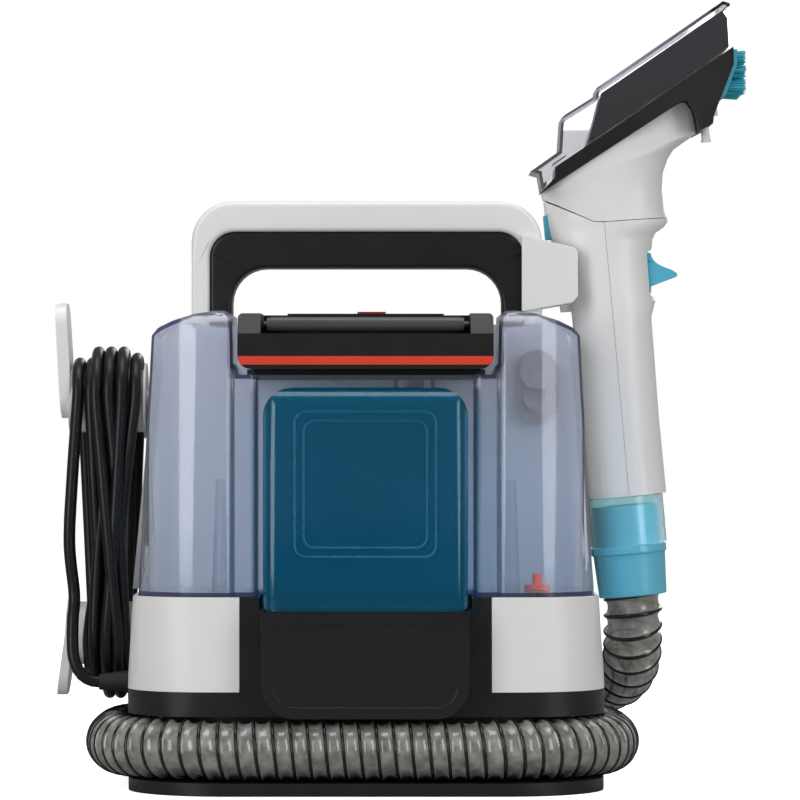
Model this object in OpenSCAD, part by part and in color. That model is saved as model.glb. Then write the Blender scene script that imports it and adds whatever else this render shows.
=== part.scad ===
// Portable spot extractor with a clear recovery tank, a solution tank, a hand wand on a ribbed hose
// and a mains lead wound on two hooks.
// X runs to the right, Y to the back and Z up. The origin is on the floor, under the middle of the base.

/* [Body] */
// Width of the lower housing at its widest
body_w = 296; // [294:1:298]
// Depth of the lower housing
body_d = 186; // [185:1:187]
// Height of the tank deck above the floor
deck_z = 120; // [119:0.5:120]
// Height of the rear tower's top
tower_z = 288; // [286:1:288]
// Thickness of the base plate
plate_t = 8; // [7:0.5:8]
// Wall thickness of the body mouldings
wall = 2.5; // [2:0.1:2.8]

/* [Tanks] */
// Wall thickness of the recovery tank
tank_t = 2.5; // [2:0.1:2.8]
// Wall thickness of the solution tank
solution_t = 2.2; // [1.8:0.1:2.5]
// Width of the solution tank
solution_w = 125; // [120:1:127]
// Height of the solution tank's top
solution_z = 248; // [240:1:250]

/* [Handle] */
// Width over the carry handle's legs
handle_w = 222; // [218:1:224]
// Height of the carry handle's top
handle_z = 366.4; // [360:0.2:370]
// Front to back depth of the carry handle
handle_d = 38; // [36:1:40]

/* [Wand] */
// Lean of the stored wand from the vertical, in degrees
wand_lean = 5.19; // [5.1:0.01:5.3]
// Width of the nozzle at its mouth
nozzle_w = 90; // [84:1:94]
// Travel of the spray trigger, in degrees
trigger_swing = 12; // [8:1:12]

/* [Hose and lead] */
// Outer diameter of the suction hose
hose_d = 38; // [36:0.5:38]
// Diameter of the mains lead
cord_d = 7.6; // [7:0.1:7.6]

/* [Hidden] */
$fn = 48;

// Body
hw = body_w / 2;
hd = body_d / 2;
skirt_z = 47;
neck_hw = 128;
neck_hd = 77.5;
niche_z = 112;
panel_x = 77;
panel_z = 62;
panel_t = 2.4;
boss_xy = [50, 71];
pad_xy = [105, 72];
pad_r = 12;
gland = [-8, 63.5];

// Tower and what it holds
tower_hw = 144;
tower_lean = 16 / 168;
motor_y = 47.5;
duct_z = 266.5;
inlet_xz = [107, 258];
button_xy = [3, 22];

// Recovery tank and lid
tank_z = deck_z + 0.3;
rim_z = 256;
lid_z = 259.5;
tray_z = 281;
lid_top = 293.5;
bail_y = -28;
bail_z = 286.8;
bail_reach = 64;
float_xy = [30, -25.5];
valve_xy = [106, -45];

// Solution tank
sol_y0 = -112;
sol_y1 = -54;
cap_z = 209.6;

// Handle
handle_y = 13;
leg_hw = handle_w / 2;

// Wand, in its own frame: x across towards the trigger, z up the shaft
wand_at = [170.1, 40, 115.8];
duct_x = -6;
collar_x = -0.3;
pivot = [24, 212.5];
// Grip sections: height, left side, right side and half depth
grip_sections = [
    [62, -23.8, 26.9, 22.4], [110, -23.4, 26.5, 22.4], [176, -23.4, 27.5, 22.6], [186, -23.6, 31, 22.6],
    [192, -24, 28.8, 22.6], [216, -29, 29.4, 22.9], [219.5, -30, 31.6, 23], [225.3, -31.6, 32.6, 23.1],
    [229.2, -32.4, 35, 23.2], [232.4, -33.3, 40.6, 23.4], [235.5, -33.8, 43.2, 23.6], [238.5, -34.1, 43.4, 23.8],
    [241, -34.3, 42, 24], [264, -35, 41.5, 24]
];
// Head sections: left point, right point, half depth and how square the section is
head_sections = [
    [[-33.4, 228], [38, 228], 23.2, 0], [[-34, 237], [43.4, 237], 23.8, 0], [[-34.5, 246], [41.8, 243], 24, 0.05],
    [[-35, 254], [41.4, 256], 24.4, 0.12], [[-35.2, 256.5], [43.1, 267], 24.8, 0.2],
    [[-35.4, 258], [46.9, 275.5], 25.2, 0.3], [[-35.6, 259], [51.2, 281.2], 25.5, 0.36],
    [[-35.7, 260], [58.9, 285.6], 25.8, 0.4], [[-35.8, 260.6], [68.4, 291], 26, 0.4],
    [[-35.9, 261.2], [69, 302], 26, 0.4], [[-36, 262], [69, 318], 26, 0.4]
];
head_points = [[-36, 257.2], [-4.6, 239.4], [3.7, 238.6], [45, 238.1], [45, 270], [65.4, 287], [65.4, 289.6],
    [64.5, 299.7], [63.3, 304.4], [60.2, 309], [56.7, 309.3], [-36.4, 260.2]];
frame_points = [[-36.4, 260.7], [56.8, 309.8], [60.6, 309.5], [63.8, 304.6], [65, 299.7], [65.9, 289.6],
    [75, 293.4], [76, 298.4], [91, 329.7], [91.9, 340.2], [-25.8, 275.9], [-27.1, 268.9]];
cover_points = [[-25.8, 276.4], [91.6, 340.9], [91.9, 345], [92, 367.7], [87.9, 369.3], [4.6, 323.1], [3.6, 318.3],
    [-16.9, 308], [-19.4, 306], [-22.6, 285.4], [-41.8, 274.3], [-36.6, 272.3], [-35.8, 261.6], [-27.6, 269.3]];
liner_points = [[-4.5, 288.8], [89.4, 340.4], [89.8, 358.8], [87, 363.6], [7.4, 319.8], [0, 300]];
// Front face of the nozzle frame, where the brush sits
face_foot = [76, 298.4];
face_turn = 64.4;

// Route of the suction hose, from its port at the back to the wand's cuff
hose_route = [[40, 100, 27.3], [65, 100, 27.3], [92, 97, 27.3], [119, 84, 27.3], [139, 60, 27.3],
    [149, 30, 27.3], [151.5, 0, 27.3], [150.5, -30, 27.3], [140, -60, 27.3], [117, -84, 27.3],
    [85, -97, 27.3], [50, -100, 27.3], [10, -100, 27.3], [-30, -100, 27.3], [-70, -100, 27.3],
    [-105, -94, 27.3], [-131, -80, 27.3], [-149, -55, 27.3], [-156, -25, 27.3], [-157, 5, 27.3],
    [-155, 36, 27.3], [-146, 63, 27.3], [-128, 87, 27.5], [-103, 105, 31], [-78, 112.5, 40],
    [-52, 115.5, 51], [-25, 116.5, 61], [5, 117, 66], [38, 117.5, 67], [72, 119, 65], [100, 121, 62],
    [122, 118, 59], [139, 110, 57.5], [151, 98, 57], [160, 84, 59], [166, 70, 65], [169.5, 58, 74],
    [170, 48, 86], [169.8, 41.8, 99], [169.8, 40.2, 110.8]];
// Route of the lead from the strain relief to the winding, and from the winding to the plug
lead_route = [[-168, -8, 63.5], [-174, -8, 64.5], [-180, -8, 69], [-184, -7, 78], [-185, -5, 90],
    [-185, -1.5, 103], [-184.5, 4, 118]];
tail_route = [[-165, 64, 232], [-165, 72, 222], [-165, 78, 211], [-165, 80, 198], [-165, 80, 186]];

// Winding of the lead on its hooks
hook_y = 37;
hook_top = 240;
hook_foot = 92;
drum_r = 20;
winding_r = 35;

// Points of an arc about c
function arc(c, r, a0, a1, n = 8) =
    [for (i = [0:n]) let (a = a0 + (a1 - a0) * i / n) c + r * [cos(a), sin(a)]];
function reversed(p) = [for (i = [len(p) - 1:-1:0]) p[i]];
// Closes a right-hand half outline with its mirror image
function mirrored(p) = concat(p, [for (q = reversed(p)) [-q[0], q[1]]]);
// Rounded rectangle with its own front and rear corner radii
function rounded(x, y0, y1, rf, rb) =
    mirrored(concat(arc([x - rf, y0 + rf], rf, 270, 360), arc([x - rb, y1 - rb], rb, 0, 90)));
// Arch of half width x and height z that stands on z0
function arch(x, z, r, z0) = concat([[x, z0]], arc([x - r, z - r], r, 0, 90),
    arc([r - x, z - r], r, 90, 180), [[-x, z0]]);

// Outline in XY extruded from z0 to z1
module prism(z0, z1, outline) translate([0, 0, z0]) linear_extrude(z1 - z0) polygon(outline);
// Outline in XZ extruded from y0 to y1
module xz_slab(outline, y0, y1) translate([0, y1, 0]) rotate([90, 0, 0]) linear_extrude(y1 - y0) polygon(outline);
// Outline in YZ extruded from x0 to x1
module yz_slab(outline, x0, x1) translate([x0, 0, 0]) rotate([90, 0, 90]) linear_extrude(x1 - x0) polygon(outline);
// Box between two corners
module block(a, b) translate(a) cube(b - a);
module x_cyl(x0, x1, y, z, r, r2 = undef)
    translate([x0, y, z]) rotate([0, 90, 0]) cylinder(h = x1 - x0, r1 = r, r2 = is_undef(r2) ? r : r2);
module y_cyl(y0, y1, x, z, r) translate([x, y0, z]) rotate([-90, 0, 0]) cylinder(h = y1 - y0, r = r);
module z_cyl(z0, z1, x, y, r) translate([x, y, z0]) cylinder(h = z1 - z0, r = r);
module at_corners(p) for (sx = [-1, 1], sy = [-1, 1]) translate([sx * p[0], sy * p[1], 0]) children();
module in_wand() translate(wand_at) rotate([0, -wand_lean, 0]) children();

// Closed solid between rings of points that all run the same way
module loft(rings) {
    n = len(rings[0]);
    m = len(rings);
    polyhedron(
        points = [for (r = rings) each r],
        faces = concat(
            [[for (i = [0:n - 1]) i]],
            [for (k = [0:m - 2], i = [0:n - 1]) let (a = k * n + i, b = k * n + (i + 1) % n) [a, a + n, b + n]],
            [for (k = [0:m - 2], i = [0:n - 1]) let (a = k * n + i, b = k * n + (i + 1) % n) [a, b + n, b]],
            [[for (i = [n - 1:-1:0]) (m - 1) * n + i]]));
}

// Tube of diameter d swept along a route, each ring square to the way the route runs there
function unit(v) = v / norm(v);
function heading(p, i) = unit(p[min(i + 1, len(p) - 1)] - p[max(i - 1, 0)]);
function side_axis(t) = unit(cross(t, abs(t[2]) < 0.8 ? [0, 0, 1] : [0, 1, 0.2]));
function carried(p, i, s) = let (t = heading(p, i)) unit(s - (s * t) * t);
function sides_from(p, i, s) = i == len(p) ? [] : let (c = carried(p, i, s)) concat([c], sides_from(p, i + 1, c));
module swept_tube(route, d, sides) {
    first = side_axis(heading(route, 0));
    axes = sides_from(route, 0, first);
    loft([for (i = [0:len(route) - 1]) let (t = heading(route, i), u = axes[i], v = cross(t, u))
        [for (k = [0:sides - 1]) let (a = 360 * k / sides) route[i] + d / 2 * (cos(a) * u + sin(a) * v)]]);
}

// Outer form of the lower housing, drawn in by t
module housing_solid(t, z0, z1) {
    intersection() {
        prism(z0, z1, rounded(hw - t, t - hd, hd - t, 50 - t, 50 - t));
        xz_slab(mirrored([[hw - 1 - t, 46], [hw - t, 58], [hw - 4.65 - t, deck_z + 2]]), -hd - 1, hd + 1);
    }
}
// Bay in the front of the housing where the solution tank stands
module niche(t) block([-65 - t, -hd - 5, niche_z - t], [65 + t, -46 + t, deck_z + 5]);
module panel_shape(gap) {
    difference() {
        housing_solid(0, panel_z - gap, deck_z + 1);
        housing_solid(panel_t, panel_z - 5, deck_z + 2);
    }
}
module panel_zone(side, gap) {
    x = side * (panel_x - gap);
    block([min(x, side * 170), -hd - 5, panel_z - gap], [max(x, side * 170), 70 + gap, deck_z]);
}

module base_plate() {
    color("#17181a") difference() {
        prism(0, plate_t, rounded(147, -112, 112, 60, 60));
        difference() {
            prism(3, plate_t + 1, rounded(122, -72, 72, 56, 56));
            at_corners(boss_xy) z_cyl(0, plate_t, 0, 0, 6);
        }
        at_corners(pad_xy) z_cyl(-1, 1.5, 0, 0, pad_r);
        at_corners(boss_xy) z_cyl(-1, plate_t + 1, 0, 0, 1.9);
        at_corners(boss_xy) z_cyl(-1, 3, 0, 0, 3.9);
    }
}

module foot_pads() {
    color("#2b2c2e") at_corners(pad_xy) difference() {
        z_cyl(0, 1.5, 0, 0, pad_r);
        z_cyl(-1, 0.6, 0, 0, pad_r - 5);
    }
}

module chassis_screws() {
    color("silver") at_corners(boss_xy) difference() {
        union() {
            z_cyl(0.6, 3, 0, 0, 3.6);
            z_cyl(2, 28, 0, 0, 1.6);
        }
        z_cyl(0, 1.8, 0, 0, 1.2);
    }
}

module lower_housing() {
    color("#1b1c1f") difference() {
        union() {
            difference() {
                union() {
                    housing_solid(0, skirt_z, deck_z);
                    prism(plate_t, skirt_z + 1, rounded(neck_hw, -neck_hd, neck_hd, 62, 62));
                }
                difference() {
                    housing_solid(panel_t + wall, skirt_z + wall, deck_z - 3);
                    niche(3);
                }
                prism(plate_t - 1, skirt_z + wall + 1, rounded(neck_hw - wall, wall - neck_hd, neck_hd - wall, 60, 60));
            }
            at_corners(boss_xy) z_cyl(plate_t, 36, 0, 0, 5);
        }
        niche(0);
        for (side = [-1, 1]) intersection() {
            panel_shape(0.3);
            panel_zone(side, 0.3);
        }
        at_corners(boss_xy) z_cyl(plate_t - 1, 32, 0, 0, 1.7);
        z_cyl(deck_z - 5, deck_z + 1, 0, motor_y, 41.05);
        x_cyl(-hw - 2, -hw + 12, gland[0], gland[1], 5.2);
        y_cyl(neck_hd - 6, neck_hd + 1, 8, 27.3, 14);
        z_cyl(deck_z - 5, deck_z + 1, valve_xy[0], valve_xy[1], 2);
        z_cyl(niche_z - 5, niche_z + 1, 0, -80, 2);
    }
}

module side_panel(side) {
    color("#eceeee") difference() {
        intersection() {
            panel_shape(0);
            panel_zone(side, 0);
        }
        x_cyl(-hw - 2, -hw + 12, gland[0], gland[1], 5.2);
    }
}
module left_side_panel() side_panel(-1);
module right_side_panel() side_panel(1);

// Front outline of the shield, drawn in by t
function shield_outline(t) = mirrored(concat(arc([43, skirt_z + 20], 20 - t, 270, 360), [[63 - t, niche_z - t]]));
module front_shield() {
    color("#141517") difference() {
        xz_slab(shield_outline(0), sol_y0, -hd);
        xz_slab(shield_outline(wall), sol_y0 + 2 * wall, 1 - hd);
        xz_slab(shield_outline(7), sol_y0 - 1, sol_y0 + 1.2);
    }
}

// Outer form of the tower, drawn in by t
module tower_solid(t, z0, z1) {
    shoulder = tower_z - 15;
    x = tower_hw - tower_lean * (shoulder - deck_z) - t;
    intersection() {
        prism(z0, z1, rounded(tower_hw - t, 2 + t, hd - t, 14 - t, 35 - t));
        xz_slab(mirrored(concat([[tower_hw - t, deck_z - 2], [tower_hw - t, deck_z], [x, shoulder]],
            arc([x + t - 15, shoulder], 15 - t, 5, 90))), 0, hd + 1);
    }
}
module tower_shell() {
    color("#e6e8e8") difference() {
        tower_solid(0, deck_z, tower_z);
        tower_solid(wall, deck_z - 1, tower_z - wall);
        block([-84, hd - 5, 130], [84, hd + 1, 265]);
        y_cyl(0, 10, 0, duct_z, 10.8);
        y_cyl(0, 10, inlet_xz[0], inlet_xz[1], 8.5);
        translate([button_xy[0], button_xy[1], tower_z - 5]) block([-9.5, -6.5, 0], [9.5, 6.5, 10]);
    }
}

module back_cover() {
    color("#d9dbdb") difference() {
        union() {
            block([-83.7, hd - wall, 130.3], [83.7, hd, 264.7]);
            block([-86, hd - 4.4, 128], [86, hd - wall, 267]);
        }
        for (i = [0:6]) block([-60, hd - 6, 182 + 10 * i], [60, hd + 1, 187 + 10 * i]);
        for (i = [0:2]) block([-60 + 44 * i, hd - 1, 140], [-28 + 44 * i, hd + 1, 168]);
    }
}

module arch_band(outer, inner, y0, y1) xz_slab(concat(outer, reversed(inner)), y0, y1);
module handle_shell() {
    color("#eceeee")
        arch_band(arch(leg_hw, handle_z, 26, tower_z), arch(leg_hw - 11.5, handle_z - 19.4, 16, tower_z),
            handle_y, handle_y + handle_d);
}
module handle_grip() {
    color("#1f2022")
        arch_band(arch(leg_hw - 11.5, handle_z - 19.4, 16, tower_z),
            arch(leg_hw - 25.5, handle_z - 42.4, 22, tower_z), handle_y + 1.5, handle_y + handle_d - 1.5);
}

module wand_holder() {
    color("#e4e6e6") difference() {
        union() {
            xz_slab([[98, 296.5], [130, 302], [133.5, 306], [133.5, 334], [131, 337], [98, 345]], 9, 71);
            in_wand() block([-30, -4, 184], [-21.5, 4, 200]);
        }
        block([90, handle_y, 290], [leg_hw, handle_y + handle_d, 350]);
        in_wand() difference() {
            xz_slab([[-24.2, 150], [60, 150], [60, 260], [-36.5, 260], [-34.4, 230.5], [-24.2, 187]], -23.2, 23.2);
            block([-40, -4, 184], [-21.5, 4, 200]);
        }
    }
}

module cord_rail() {
    color("#e6e8e8") union() {
        intersection() {
            xz_slab([[-143.905, 121], [-127.905, 289], [-132.4, 289], [-148.4, 121]], 0, 80);
            yz_slab(concat([[17, 100], [57, 100]], arc([hook_y, 268], 20, 0, 180)), -160, -120);
        }
        x_cyl(-174, -134.8, hook_y, hook_top, 6);
    }
}

// Drum that the lead is wound on, with its hub, from x0 in to x1
module drum(x0, x1, z) {
    difference() {
        x_cyl(x0, x1, hook_y, z, drum_r);
        difference() {
            x_cyl(x0 + 3, x1 + 1, hook_y, z, drum_r - 3);
            x_cyl(x0, x1 + 2, hook_y, z, 9);
        }
    }
}
module paddle(side_points, z0, z1, r) {
    intersection() {
        xz_slab(side_points, 10, 65);
        yz_slab(concat(arc([57 - r, z0 + r], r, 270, 360), arc([57 - r, z1 - r], r, 0, 90),
            arc([17 + r, z1 - r], r, 90, 180), arc([17 + r, z0 + r], r, 180, 270)), -210, -170);
    }
}
module upper_cord_hook() {
    color("#e9ebeb") difference() {
        union() {
            drum(-189.5, -140.4, hook_top);
            x_cyl(-141.8, -140.4, hook_y, hook_top, 24);
            paddle([[-188.5, 228], [-188.5, 262], [-191, 303], [-198, 301], [-196, 262], [-194, 228]], 229, 302, 13);
        }
        x_cyl(-174.5, -139, hook_y, hook_top, 6.06);
    }
}
module lower_cord_hook() {
    color("#e9ebeb") difference() {
        union() {
            drum(-187, -130, hook_foot);
            paddle([[-186, 116], [-186, 92], [-191, 52], [-197, 53], [-191.5, 92], [-190, 116]], 53, 114, 13);
        }
        housing_solid(0, 40, deck_z + 1);
        block([-146, 0, 119], [-100, 80, 140]);
    }
}

module strain_relief() {
    color("#2a2b2d") union() {
        x_cyl(-147.9, -139, gland[0], gland[1], 5);
        x_cyl(-168, -147.9, gland[0], gland[1], 5, 7.4);
    }
}

module hose_port() {
    color("#222326") difference() {
        union() {
            x_cyl(-12, 40, 100, 27.3, hose_d / 2 + 0.2);
            y_cyl(neck_hd, 100, 8, 27.3, 17);
        }
        x_cyl(-9, 41, 100, 27.3, 15.5);
        y_cyl(neck_hd - 1, 100, 8, 27.3, 14);
    }
}

module suction_motor() {
    color("#8c9095") difference() {
        union() {
            z_cyl(100, 175, 0, motor_y, 34);
            z_cyl(90, 100, 0, motor_y, 20);
        }
        z_cyl(154, 176, 0, motor_y, 4.06);
        for (a = [0:45:315]) translate([0, motor_y, 0]) rotate(a) block([24, -4, 108], [36, 4, 114]);
    }
}
module motor_mount() {
    color("#303133") difference() {
        z_cyl(deck_z - 3, deck_z, 0, motor_y, 41);
        z_cyl(deck_z - 4, deck_z + 1, 0, motor_y, 34);
    }
}
module fan_housing() {
    color("#3a3c40") difference() {
        z_cyl(175, 207, 0, motor_y, 40.8);
        z_cyl(177, 205, 0, motor_y, 38.8);
        z_cyl(174, 178, 0, motor_y, 6);
        z_cyl(204, 208, 0, motor_y, 13.5);
        block([-14, motor_y + 20, 180], [14, 100, 202]);
    }
}
module impeller() {
    color("#c9ccd0") translate([0, motor_y, 0]) {
        z_cyl(156, 182, 0, 0, 4);
        z_cyl(180, 198, 0, 0, 8);
        z_cyl(179, 181, 0, 0, 36);
        for (a = [0:45:315]) rotate(a) block([6, -0.8, 180], [35, 0.8, 195]);
    }
}
module suction_duct() {
    color("#3a3c40") difference() {
        union() {
            z_cyl(207, 281, 0, motor_y, 16);
            y_cyl(-1, motor_y, 0, duct_z, 10.4);
        }
        z_cyl(206, 278, 0, motor_y, 13.5);
        y_cyl(-2, motor_y, 0, duct_z, 8.4);
    }
}
module solution_pump() {
    color("#2f3a44") difference() {
        union() {
            x_cyl(35, 85, -25, 62, 15);
            block([45, -35, 3], [75, -15, 55]);
        }
        x_cyl(64, 86, -25, 62, 4.06);
    }
}
module pump_piston() {
    color("silver") union() {
        x_cyl(72, 96, -25, 62, 4);
        x_cyl(94, 98, -25, 62, 6);
    }
}
module power_switch() {
    color("#26282b") translate([button_xy[0], button_xy[1], 0]) union() {
        block([-9, -5, 277.4], [9, 5, 280]);
        for (s = [-1, 1]) translate([s * 12.2, 0, 0]) block([-1, -4, 277.4], [1, 4, tower_z - wall]);
        for (s = [-1, 1]) translate([s * 10.6, 0, 0]) block([-2.6, -4, 277.4], [2.6, 4, 279]);
    }
}
module power_button() {
    color("#8c1d1a") translate([button_xy[0], button_xy[1], 0]) union() {
        prism(283.2, 296.4, rounded(9, -6, 6, 2, 2));
        block([-10, -7, 283.2], [10, 7, 284.8]);
    }
}

module suction_hose() color("#6d7074") swept_tube(hose_route, hose_d, 12);
module cord_winding() {
    color("#1a1b1c") difference() {
        hull() {
            x_cyl(-188, -142.4, hook_y, hook_top, winding_r);
            x_cyl(-184.6, -152, hook_y, hook_foot, winding_r);
        }
        hull() {
            x_cyl(-200, -130, hook_y, hook_top, drum_r + 0.3);
            x_cyl(-200, -130, hook_y, hook_foot, drum_r + 0.3);
        }
    }
}
module cord_lead() {
    color("#1a1b1c") {
        swept_tube(lead_route, cord_d, 8);
        swept_tube(tail_route, cord_d, 8);
    }
}
module mains_plug() {
    color("#1a1b1c") translate([-165, 80, 0]) union() {
        translate([0, 0, 166]) cylinder(h = 20, r1 = 5.6, r2 = 4.4);
        prism(138, 167, rounded(12, -7.5, 7.5, 4, 4));
        for (s = [-1, 1]) z_cyl(120, 139, s * 6.35, 0, 2.2);
    }
}

// Plan of the recovery tank, drawn in by t: two lobes joined behind the solution tank
function tank_plan(t) = mirrored(concat(
    [[66 + t, -47 + t]], arc([72, -80], 6 - t, 180, 270, 6), [[80 + t, -86 + t]],
    arc([87, 7 - hd], 7 - t, 180, 270, 6), arc([94.3, 48 - hd], 48 - t, 270, 360), arc([130.3, -14], 12 - t, 0, 90)));
// Front view of the recovery tank, drawn in by t: sides lean in, lobes are domed, the middle is low
function tank_front(t) = mirrored([[140.5 - t, tank_z + t], [131.4 - t, 280], [127.4 - t, 284.6 - 0.6 * t],
    [118.5 - 0.3 * t, 288.8 - t], [105, 293.2 - t], [92, 295.2 - t], [86 + 0.4 * t, 295.2 - t],
    [81.5 + t, 292 - t], [81 + t, 263 - t], [77 + t, rim_z - t]]);
// Side view of the recovery tank, drawn in by t: the front of each lobe rolls back into its top
function tank_side(t) = concat([[6, tank_z - 2], [6, 296 - t]], arc([17 - hd, 279], 17 - t, 90, 180, 10),
    [[t - hd, tank_z - 2]]);
module tank_form(t) {
    intersection() {
        prism(tank_z - 1, 300, tank_plan(t));
        xz_slab(tank_front(t), -hd - 5, 5);
        yz_slab(tank_side(t), -150, 150);
    }
}
module recovery_tank() {
    color([0.66, 0.68, 0.9, 0.45]) difference() {
        union() {
            difference() {
                tank_form(0);
                tank_form(tank_t);
            }
            for (s = [-1, 1]) translate([s * 89, -58, tank_z + 1]) cylinder(h = 70, r1 = 6, r2 = 3.5);
        }
        block([-70, -43, rim_z - 6], [70, -8, rim_z + 2]);
        y_cyl(-10, 0, inlet_xz[0], inlet_xz[1], 8.5);
        z_cyl(tank_z - 1, tank_z + 4, valve_xy[0], valve_xy[1], 3.4);
    }
}
module inlet_port() {
    x = inlet_xz[0];
    color("#9a9cc0") difference() {
        union() {
            xz_slab(concat(arc([x, 258.5], 13.5, 0, 180), arc([x, 238.5], 13.5, 180, 360)), -7, -2 - tank_t);
            y_cyl(-14, -6, x, inlet_xz[1], 10.7);
            y_cyl(-12, -6, x, 242.4, 8.5);
        }
        y_cyl(-12, 0, x, inlet_xz[1], 8.5);
        block([x - 6, -12, 240], [x + 6, -8, 252]);
    }
}
module tank_valve() {
    z = tank_z + tank_t;
    color("#c8321e") union() {
        z_cyl(z + 0.4, z + 3.2, valve_xy[0], valve_xy[1], 8);
        z_cyl(deck_z + 0.6, z + 10, valve_xy[0], valve_xy[1], 3);
    }
}

// Side view of the lid, drawn in by t
function lid_side(t, z) = [[-100 + t, z], [-4 - t, z], [-4 - t, lid_top - t], [-90 + t, lid_top - t],
    [-100 + t, tray_z - t]];
// Front view of the lid, drawn in by t
function lid_front(t) = mirrored(concat(arc([70, lid_z + 8], 8 - t, 270, 360), arc([75, lid_top - 3], 3 - t, 0, 90)));
module lid_form(t) {
    intersection() {
        yz_slab(lid_side(t, lid_z), -78, 78);
        xz_slab(lid_front(t), -101, 0);
    }
}
module tank_lid() {
    color("#17181a") difference() {
        union() {
            difference() {
                lid_form(0);
                difference() {
                    union() {
                        lid_form(wall);
                        block([-66, -90, lid_z - 1], [66, -7, lid_z + 4]);
                    }
                    block([-66.5, -101, tray_z - wall], [66.5, -17.5, 300]);
                    block([-78, -50, lid_z - 2], [78, 0, lid_z + 2]);
                }
                difference() {
                    block([-64, -101, tray_z], [64, -20, 300]);
                    block([-48, -74, tray_z - 1], [48, -19, lid_top]);
                }
            }
            prism(253, lid_z + 2, rounded(69.4, -42.4, -8.6, 4, 4));
        }
        prism(252, lid_z + 3, rounded(67.4, -40.4, -10.6, 3, 3));
        block([-90, -101, 262], [90, -99.2, 267.2]);
        y_cyl(-8, -3, 0, duct_z, 8);
        for (s = [-1, 1]) x_cyl(s * 65.4 - 1.6, s * 65.4 + 1.6, bail_y, bail_z, 3.06);
    }
}
module lid_stripe() {
    color("#e2452a") intersection() {
        xz_slab(lid_front(0.1), -100.9, -99.2);
        block([-90, -101, 262], [90, -99, 267.2]);
    }
}
module lid_gasket() {
    color("#2a2b2d") difference() {
        prism(rim_z, lid_z, rounded(74, -46.2, -4.8, 5, 5));
        prism(rim_z - 1, lid_z + 1, rounded(70.4, -43.2, -7.8, 4, 4));
    }
}
module float_cage() {
    x = float_xy[0];
    y = float_xy[1];
    color("#c9ccd0") difference() {
        z_cyl(196, tray_z - wall, x, y, 13);
        z_cyl(198, 269, x, y, 11.4);
        z_cyl(195, 300, x, y, 6);
        for (a = [0:90:270]) translate([x, y, 0]) rotate(a + 45) block([8, -4, 204], [14, 4, 262]);
    }
}
module tank_float() {
    color("#e8e4d8") difference() {
        z_cyl(198.3, 226, float_xy[0], float_xy[1], 11);
        z_cyl(197, 222, float_xy[0], float_xy[1], 9);
    }
}
module tank_bail() {
    color("#3b3d40") union() {
        x_cyl(-58, 58, bail_y - bail_reach, bail_z, 4.4);
        for (s = [-1, 1]) {
            yz_slab(concat(arc([bail_y, bail_z], 4, -90, 90), arc([bail_y - bail_reach, bail_z], 4, 90, 270)),
                s * 57.5 - 2.5, s * 57.5 + 2.5);
            x_cyl(s * 62.9 - 3.5, s * 62.9 + 3.5, bail_y, bail_z, 3);
        }
    }
}

// Front outline of the solution tank, drawn in by t
function solution_outline(t) = let (x = solution_w / 2)
    mirrored([[x - 3 - t * 0.6, niche_z + 0.3 + t], [x - t, niche_z + 3.3 + t * 0.6],
        each arc([x - 18, solution_z - 18], 18 - t, 0, 90)]);
module solution_form(t) {
    intersection() {
        xz_slab(solution_outline(t), sol_y0, sol_y1);
        prism(100, 260, rounded(solution_w / 2 - t, sol_y0 + t, sol_y1 - t, 10 - t, 4 - t));
        yz_slab(concat([[sol_y1, 100], [sol_y1, 260]], arc([sol_y0 + 12, solution_z - 12], 12 - t, 90, 180),
            [[sol_y0 + t, 100]]), -70, 70);
    }
}
// Sunk window in the tank's front, widened by grow
module solution_window(depth, grow) {
    xz_slab([for (p = rounded(44 + grow, -45 - grow, 45 + grow, 7, 7)) [p[0], p[1] + 188.5]],
        sol_y0 - 1, sol_y0 + depth);
}
module solution_tank() {
    color([0.05, 0.45, 0.58, 0.75]) difference() {
        solution_form(0);
        solution_window(1.2, 0);
        solution_window(2.6, -5.4);
        block([-70, sol_y0 - 1, 119], [70, sol_y0 + 0.9, 121.4]);
        difference() {
            solution_form(solution_t);
            solution_window(1.2 + solution_t, 1.6);
            solution_window(2.6 + solution_t, -3.8);
            block([-70, sol_y0 - 1, 117.4], [70, sol_y0 + 0.9 + solution_t, 123]);
        }
        y_cyl(sol_y1 - 5, sol_y1 + 1, 9, cap_z, 8);
        y_cyl(sol_y1 - 5, sol_y1 + 1, -10.5, cap_z, 4);
        z_cyl(niche_z - 1, niche_z + 4, 0, -80, 3.4);
    }
}
module filler_cap() {
    color("#0b2f3c") union() {
        y_cyl(sol_y1 - 3, sol_y1 + 1, 9, cap_z, 7.94);
        y_cyl(sol_y1 + 0.3, sol_y1 + 5, 9, cap_z, 10);
    }
}
module vent_plug() {
    color("#0b2f3c") union() {
        y_cyl(sol_y1 - 4, sol_y1 + 1, -10.5, cap_z, 4);
        y_cyl(sol_y1, sol_y1 + 5, -10.5, cap_z, 8);
    }
}
module solution_valve() {
    z = niche_z + 0.3 + solution_t;
    color("#c8321e") union() {
        z_cyl(z + 0.4, z + 3, 0, -80, 7);
        z_cyl(niche_z + 0.6, z + 1, 0, -80, 3);
    }
}

// Oval ring of the grip at a section, drawn in by t
function grip_ring(s, t, n = 36) = let (c = (s[1] + s[2]) / 2, a = (s[2] - s[1]) / 2 - t, b = s[3] - t)
    [for (i = [0:n - 1]) [c + a * cos(360 * i / n), b * sin(360 * i / n), s[0]]];
module grip_form(t) loft([for (s = grip_sections) grip_ring(s, t)]);
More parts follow.
